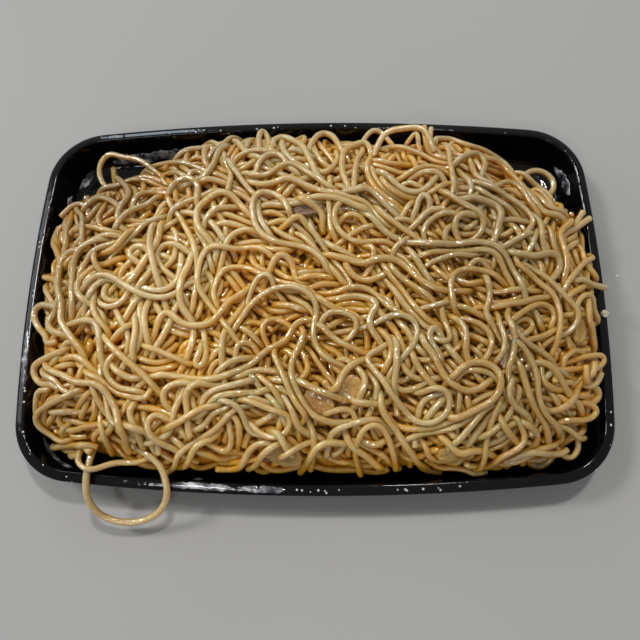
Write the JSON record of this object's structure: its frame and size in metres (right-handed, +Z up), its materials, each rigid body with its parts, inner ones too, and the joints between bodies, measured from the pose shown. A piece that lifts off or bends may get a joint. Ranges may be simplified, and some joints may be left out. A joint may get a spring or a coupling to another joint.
{
  "type": "lo mein in a catering tray",
  "caption": "Shallow black plastic tray heaped with thin tangled wheat noodles, with slices of onion, shallot and meat lying on them.",
  "frame": {"origin": "centre of the tray's flat underside", "axes": "+X along the tray's length, +Y towards its far side, +Z up"},
  "size_m": [0.2798, 0.2036, 0.0502],
  "materials": {
    "tray_plastic": "glossy black pressed polystyrene",
    "noodle": "cooked wheat noodle, amber from soy sauce, shiny with oil",
    "meat": "cooked meat, tan, moist",
    "shallot": "cooked shallot, purple-grey, translucent and moist",
    "onion": "cooked onion, pale amber, translucent and moist"
  },
  "bodies": {
    "root": {"tray": "tray_plastic", "noodles": "noodle", "meat_slice_left": "meat", "meat_slice_right": "meat", "shallot_strip": "shallot", "shallot_piece_right": "shallot", "onion_slice_front": "onion", "onion_slice_front_right": "onion", "onion_slice_right": "onion", "onion_slice_left": "onion"}
  },
  "joints": []
}
